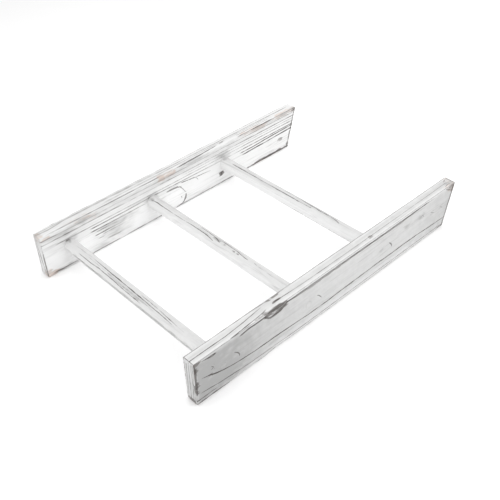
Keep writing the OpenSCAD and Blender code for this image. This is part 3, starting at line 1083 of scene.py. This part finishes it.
# %% Right rail: its patches
RIGHT_PATCHES = {
    "bare": {
        "inner": [(0, 15, 2, 9, 0.85), (0, 5, 6, 13, 0.8), (3, 13, 64, 68, 0.66),
                  (50, 92, 64.6, 70, 0.42), (76, 90, 57, 63, 0.3), (208, 237, 63, 70, 0.62),
                  (372, 436, 63, 70, 0.55), (446, 500, 64.6, 70, 0.8), (207, 215, 62.5, 70, 1.2),
                  (386, 482, 0, 2, 0.7)],
        "front": [(208, 237, 16, 19, 0.62), (207, 213, 15.5, 19, 1.2), (34, 90, 14, 19, 0.34),
                  (372, 412, 14, 19, 0.5), (446, 500, 14, 19, 0.66), (0, 5, 5, 19, 0.6)],
        "outer": [(0, 8, 30, 70, 0.6), (250, 300, 65, 70, 0.7), (470, 500, 0, 8, 0.6)],
        "back": [(380, 480, 12, 19, 0.7), (0, 20, 10, 19, 0.7)],
        "top_end": [(63, 70, 3, 19, 0.5), (0, 8, 9, 19, 0.7)],
    },
    "knot": {
        "inner": [(326, 330, 15, 22, 0.8), (459, 466, 21, 25, 0.5), (38.5, 42, 45, 48, 0.7),
                  (43, 45, 41.5, 44, 0.55), (478.6, 480, 3, 10, 0.5), (390, 475, 0, 4.6, 1.1),
                  (6, 24, 2, 5, 0.36), (185, 190, 38, 47, 0.42), (488, 500, 66, 70, 0.6),
                  (66, 90, 65.4, 67.4, 0.25)],
        "front": [(336, 338, 11, 13, 0.6), (2, 330, -1, 1.4, 0.45), (330, 488, -1, 1.4, 0.5)],
        "outer": [(342, 358, -1, 4.6, 0.85)],
        "top_end": [(2, 40, 16.8, 19, 0.8)],
    },
    "grime_and_shade": {
        # The grey patches just above each rung's joint on the inner face are painted shade.
        "inner": [(92, 138, 26, 36, 0.66), (104, 134, 10, 26, 0.6), (120, 156, 30, 37, 0.7),
                  (84, 100, 5, 10, 0.5), (37, 47, 40, 49, 0.85), (184, 192, 34, 48, 1.1),
                  (322, 340, 45, 56, 0.8), (0, 56, 57, 66, 0.45), (16, 44, 2, 5, 0.9),
                  (28, 40, 9, 20, 0.3), (56, 86, 63, 68, 0.9), (28, 48, 55, 63, 0.8),
                  (55, 130, 60, 66, 0.5), (0, 500, 58, 70, 0.45), (238, 306, 65, 70, 0.75),
                  (366, 500, 62, 70, 0.52)],
        "front": [(242, 306, 13, 19, 0.8)],
        "outer": [(60, 180, 10, 50, 0.4)],
    },
    "fresh_and_light": {
        # The white patches on the inner face, by the rungs, are painted light.
        "inner": [(58, 80, 10, 37, 0.55), (150, 181, 6, 28, 0.9), (163, 181, 26, 36, 0.8),
                  (2, 30, 12, 36, 0.5), (214, 246, 6, 35, 0.6), (256, 322, 6, 33, 0.45)],
        "outer": [(90, 150, 20, 40, 0.6)],
    },
}
print("right rail:", {kind: tally(table) for kind, table in RIGHT_PATCHES.items()}, "patches")

# %% Right rail: its thin paint and painted shade, and the piece
# Each face greys along its length: partly thin paint and partly painted shade.
RIGHT_THINNESS_AND_SHADE = {
    "inner": [(0, 0.1), (100, 0.08), (250, 0.02), (500, 0.08)],
    "front": [(0, 0.4), (300, 0.42), (500, 0.32)],
    "outer": [(0, 0.4), (250, 0.25), (500, 0.4)],
    "back": [(0, 0.3), (500, 0.3)],
    "top_end": [(0, 0), (40, 0.04), (60, 0.25)],
    "foot_end": [(0, 0.4), (70, 0.3)],
}
RIGHT_ZONES = [(0, 8), (214, 258), (272, 281), (322, 334), (455, 469), (484, 500)]
RIGHT_TABLES = (RIGHT_SEAMS, RIGHT_RINGS, RIGHT_PATCHES, RIGHT_THINNESS_AND_SHADE, {})

right_board = make_board("right_board", RIGHT_ZONES, RIGHT_TABLES)
mirror(right_board)
seat(right_board, "right_rail", rail_finish)

# %% [markdown]
# ## The rungs
#
# A rung is turned bar with its grain along it. A plain cylinder has long faces that can't
# carry marks, so the bar is spun from a profile that is cut finely along its length, and then
# weathered like a board. Its marks are measured along X from the ladder's middle and in
# degrees round the bar, from its front, towards the feet.

# %% Turn a rung
RUNG_BEVEL = 1.0
RUNG_CUTS = 157
SCREW_RADIUS = 2.0
SCREW_LENGTH = 40
SCREW_TIP = HEAD_PLANE - SCREW_LENGTH
POINT_LENGTH = 4


def rung_profile():
    """Places along X and radii of a rung with the holes that its two screws cut."""
    half = [(SCREW_TIP, 0), (SCREW_TIP + POINT_LENGTH, SCREW_RADIUS), (RUNG_HALF, SCREW_RADIUS),
            (RUNG_HALF, RUNG_RADIUS - RUNG_BEVEL), (RUNG_HALF - RUNG_BEVEL, RUNG_RADIUS)]
    stations = np.linspace(RUNG_BEVEL - RUNG_HALF, RUNG_HALF - RUNG_BEVEL, RUNG_CUTS + 2)[1:-1]
    skin = [(float(x), RUNG_RADIUS) for x in stations]
    return [(-x, radius) for x, radius in half] + skin + half[::-1]


# %% The rungs' marks
RUNG_SEAMS = {
    "top": [
        [(-142, -3, 0), (-128, -4, 0.09), (-110, -4, 0.09), (-92, 0, 0.07), (-76, -3, 0.15),
         (-66, -4, 0.28), (-50, -7, 0.34), (-34, -6, 0.42), (-28, -8, 0.28), (-16, -9, 0.12),
         (-8, -10, 0.3), (0, -12, 0.32), (12, -13, 0.32), (24, -15, 0.22), (40, -19, 0.18),
         (55, -20, 0.18), (66, -23, 0.18), (80, -28, 0.09), (92, -34, 0)],
        [(-20, 14, 0), (10, 6, 0), (18, 4, 0.15), (28, 5, 0.19), (42, 1, 0.17), (52, 0, 0.12),
         (62, -5, 0.22), (72, -8, 0.25), (79, -10, 0.19), (90, -14, 0.06), (102, -17, 0.05),
         (110, -18, 0)],
        [(-121, -42, 0), (-116, -42, 0.2), (-90, -43, 0.2), (-80, -39, 0.15), (-73, -35, 0.24),
         (-60, -38, 0.16), (-38, -41, 0.22), (-20, -46, 0.18), (4, -49, 0.14), (10, -48, 0.22),
         (16, -50, 0.12), (24, -50, 0)],
        [(-112, -16, 0), (-100, -17, 0.06), (-70, -19, 0.08), (-40, -24, 0.06), (-20, -30, 0.1),
         (-6, -36, 0.06), (6, -40, 0)],
        [(-20, -27, 0), (-12, -28, 0.07), (20, -31, 0.09), (42, -34, 0.06), (55, -38, 0)],
        [(-135, -82, 0), (-125, -83, 0.19), (-80, -82, 0.17), (-70, -83, 0.06), (10, -86, 0.07),
         (60, -85, 0.09), (130, -86, 0.06), (148, -86, 0)],
        [(-60, 140, 0), (-20, 145, 0.31), (60, 140, 0.31), (100, 138, 0)],
    ],
    "middle": [
        [(-148, -38, 0), (-144, -34, 0.12), (-139, -28, 0.25), (-133, -26, 0.37), (-124, -29, 0.28),
         (-112, -28, 0.2), (-97, -29, 0.14), (-93, -29, 0.06), (-88, -27, 0.19), (-76, -28, 0.14),
         (-66, -25, 0.12), (-54, -22, 0.24), (-44, -22, 0.26), (-28, -22, 0.31), (-20, -25, 0.26),
         (-12, -31, 0.22), (-8, -35, 0.15), (-6, -36, 0)],
        [(-143, 14, 0), (-130, 14, 0.08), (-90, 14, 0.05), (-46, 12, 0.09), (-30, 9, 0.15),
         (-24, 8, 0.26), (-12, 5, 0.26), (-4, -2, 0.34), (0, -10, 0.37), (3, -17, 0.22),
         (5, -20, 0)],
        [(-60, 24, 0), (-10, 18, 0), (3, 9, 0), (6, 7, 0.22), (13, 9, 0.25), (22, 6, 0.22),
         (30, 4, 0.15), (38, 3, 0.25), (44, -3, 0.22), (52, -8, 0.22), (58, -9, 0.22), (61, -8, 0),
         (68, 1, 0), (72, -2, 0.12), (76, -8, 0.07), (100, -12, 0.09), (128, -14, 0.06),
         (132, -14, 0)],
        [(-50, -130, 0), (0, -128, 0.31), (80, -132, 0.28), (110, -132, 0)],
    ],
    "bottom": [
        [(-129, -17, 0), (-125, -17, 0.22), (-114, -17, 0.24), (-110, -17, 0.31), (-100, -17, 0.25),
         (-86, -17, 0.2), (-75, -16, 0.24), (-66, -18, 0.17), (-46, -18, 0.21), (-38, -17, 0.2),
         (-28, -19, 0.32), (-16, -16, 0.26), (-6, -17, 0.29), (8, -16, 0.3), (14, -18, 0.26),
         (20, -16, 0.15), (27, -16, 0.07), (31, -15, 0.25), (34, -16, 0.12), (38, -15, 0.22),
         (41, -15, 0)],
        [(-45, 17, 0), (-36, 15, 0.09), (-8, 13, 0.09), (4, 14, 0.05), (14, 14.5, 0.07),
         (20, 14, 0.22), (26, 13, 0.37), (36, 11, 0.37), (46, 9, 0.31), (54, 5, 0.4), (60, 6, 0.31),
         (68, 7, 0.38), (76, 5, 0.25), (85, 2, 0.26), (89, -4, 0.34), (92, -11, 0.25),
         (94, -14, 0)],
        [(-140, 120, 0), (-100, 118, 0.31), (20, 124, 0.31), (60, 124, 0)],
        [(-30, -120, 0), (10, -118, 0.31), (110, -124, 0.31), (140, -124, 0)],
    ],
}
# On the rungs, the grey band along the top rung's side towards the top end and the grey at each end
# by the right rail are painted shade. The white bands low on that side of the other two are painted
# light.
RUNG_PATCHES = {
    "top": {
        "bare": [(5, 14, -50, -34, 0.2)],
        "knot": [(4, 15, -50, -32, 0.48)],
        "grime_and_shade": [(-150, 150, -110, -76, 0.6), (-150, -146, -25, 2, 0.9), (-70, 60, -44, -4, 0.62)],
    },
    "middle": {
        "grime_and_shade": [(-150, -140, -40, -8, 0.9), (-148, -126, 6, 16, 0.7), (-10, 4, -18, 6, 1.2),
                  (-40, 60, 0, 20, 0.72), (-60, 45, -26, 0, 0.6)],
        "fresh_and_light": [(-130, 150, -130, -55, 0.5)],
        "knot": [(11.5, 15, -18, -7, 0.6), (31, 34, -18, -10, 0.55), (39, 42, -18, -12, 0.55),
                 (-6, 3, -22, -8, 0.55)],
    },
    "bottom": {
        "grime_and_shade": [(-124, 40, -24, -10, 0.6), (-150, -146, -26, 16, 0.8), (-40, 92, 8, 34, 0.78)],
        "fresh_and_light": [(-130, 150, -130, -55, 0.4)],
    },
}
print("rungs:", tally(RUNG_SEAMS), "cracks")

# %% Weather a rung
RUNG_SEED = 31.7
SEED_STEP = 5.9
TOP_SHADE = 0.56
TOP_SHADE_TURN = 15
BRUISE = 0.3
TURNING = 0.1
NEARLY = 0.01
CLEAR_OF_RAIL = 1
CARVING_FADE = 6


def rung_marks(place, points, turn):
    """The marks on a rung, and the waves in its wood, at points and turns about its axis."""
    x = points[:, 0]
    offsets = []
    for line in RUNG_SEAMS[place]:
        along, angle, half = np.array(line, float).T
        offset = (turn - np.interp(x, along, angle) + 180) % 360 - 180
        here = np.interp(x, along, half, left=0, right=0)
        offsets.append((np.radians(offset) * RUNG_RADIUS, here))
    seam, width = nearest_line(offsets)
    seed = RUNG_SEED + SEED_STEP * RUNGS.index(place)
    waves = cloud(points, (12, 3, 3), seed)
    chips = cloud(points, (4.5, 2, 2), seed)
    marks = {"seam": seam, "seam_width": width * np.clip(1.2 + chips, 0.5, 2),
             "ring": np.full(len(x), REACH), "ring_width": np.zeros(len(x))}
    for name in RIMS:
        marks[name] = np.zeros(len(x))
        for *box, strength in RUNG_PATCHES[place].get(name, []):
            found = strength * patch(x, turn, box, (2, 5), waves)
            marks[name] = np.maximum(marks[name], found)
    # The top of each rung, turned a little towards its feet, greys with the cosine of the turn:
    # painted shade.
    greyed = TOP_SHADE * np.clip(np.cos(np.radians(turn - TOP_SHADE_TURN)), 0, 1) ** 1.2
    marks["grime_and_shade"] = np.maximum(marks["grime_and_shade"], greyed)
    return marks, waves


def weather_rung(bar, place):
    """Carves the marks into a rung's mesh and stores them as attributes for the finish."""
    x, y, z = read_rows(bar.data.vertices, "co").T
    y = y - RUNG_Y[place]
    z = z - RUNG_HEIGHT
    radius = np.hypot(y, z)
    turn = np.degrees(np.arctan2(y, z))
    marks, waves = rung_marks(place, np.stack([x, y, z], axis=1), turn)
    depth = groove(marks["seam"], marks["seam_width"])
    depth = depth + BRUISE * marks["knot"] + TURNING * (1 + waves)
    depth *= np.clip((INNER - CLEAR_OF_RAIL - np.abs(x)) / CARVING_FADE, 0, 1)
    depth = np.where(radius > RUNG_RADIUS - RUNG_BEVEL - NEARLY, depth, 0)
    keep = 1 - depth / np.maximum(radius, 1)
    moved = np.stack([x, y * keep + RUNG_Y[place], z * keep + RUNG_HEIGHT], axis=1)
    store_marks(bar.data, moved, marks, crease=40)


# %% Make the three rungs
for place in RUNGS:
    rung_shape = bmesh.new()
    spin_about_rung(rung_shape, rung_profile(), place, steps=128)
    bar = as_object(f"{place}_bar", rung_shape)
    weather_rung(bar, place)
    seat(bar, f"{place}_rung", rung_finish)
    print(bar.name, "has", len(bar.data.polygons), "faces")

# %% [markdown]
# ## The plugs
#
# The plugs were glued in, planed flush and painted with the rails, so a rail's cracks and
# patches run on across them. They could be left as discs of plain paint, but then each would
# show as a clean spot. So the same tables weather them, on rings of small faces.

# %% Turn the plugs
PLUG_GAP = 0.05
PLUG_RINGS = 16


def plug_profile():
    """Places along X and radii of a plug, with rings on the end that shows."""
    radius = POCKET_RADIUS - PLUG_GAP
    rings = [(OUTER, float(step)) for step in np.linspace(radius, 0, PLUG_RINGS)]
    return [(HEAD_PLANE, 0), (HEAD_PLANE, radius), (OUTER - 1, radius)] + rings


for side, tables in (("left", LEFT_TABLES), ("right", RIGHT_TABLES)):
    for place in RUNGS:
        plug_shape = bmesh.new()
        spin_about_rung(plug_shape, plug_profile(), place, steps=64)
        plug = as_object(f"{place}_{side}_plug_end", plug_shape)
        weather(plug, *tables)
        if side == "right":
            mirror(plug)
        seat(plug, f"{place}_{side}_plug", rail_finish)

# %% [markdown]
# ## The screws
#
# The wood hides them. They are CAD solids of the right shape, so they aren't made again and
# only get a finish: zinc-plated steel, turned on a lathe, so fine rings run round them.

# %% Finish the screws
DULL_ZINC = (0.58, 0.58, 0.60, 1)
BRIGHT_ZINC = (0.72, 0.72, 0.73, 1)
LATHE_MARKS = [9000, 300, 300]

steel_finish = new_material("zinc_steel", {"Metallic": 1.0})
steel_place = Wire(steel_finish.node_tree).node("ShaderNodeTexCoord", output="Object")
turned = steel_place.stretch(LATHE_MARKS).clouds(1.0, detail=2)
feed_shader(steel_finish, {"Base Color": turned.rise(0.2, 0.8).mix(DULL_ZINC, BRIGHT_ZINC),
                           "Roughness": 0.28 + 0.2 * turned})

for name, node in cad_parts.items():
    if name.endswith("_screw"):
        node.data.materials.clear()
        node.data.materials.append(steel_finish)
        print(name, "has", node.data.materials[0].name)
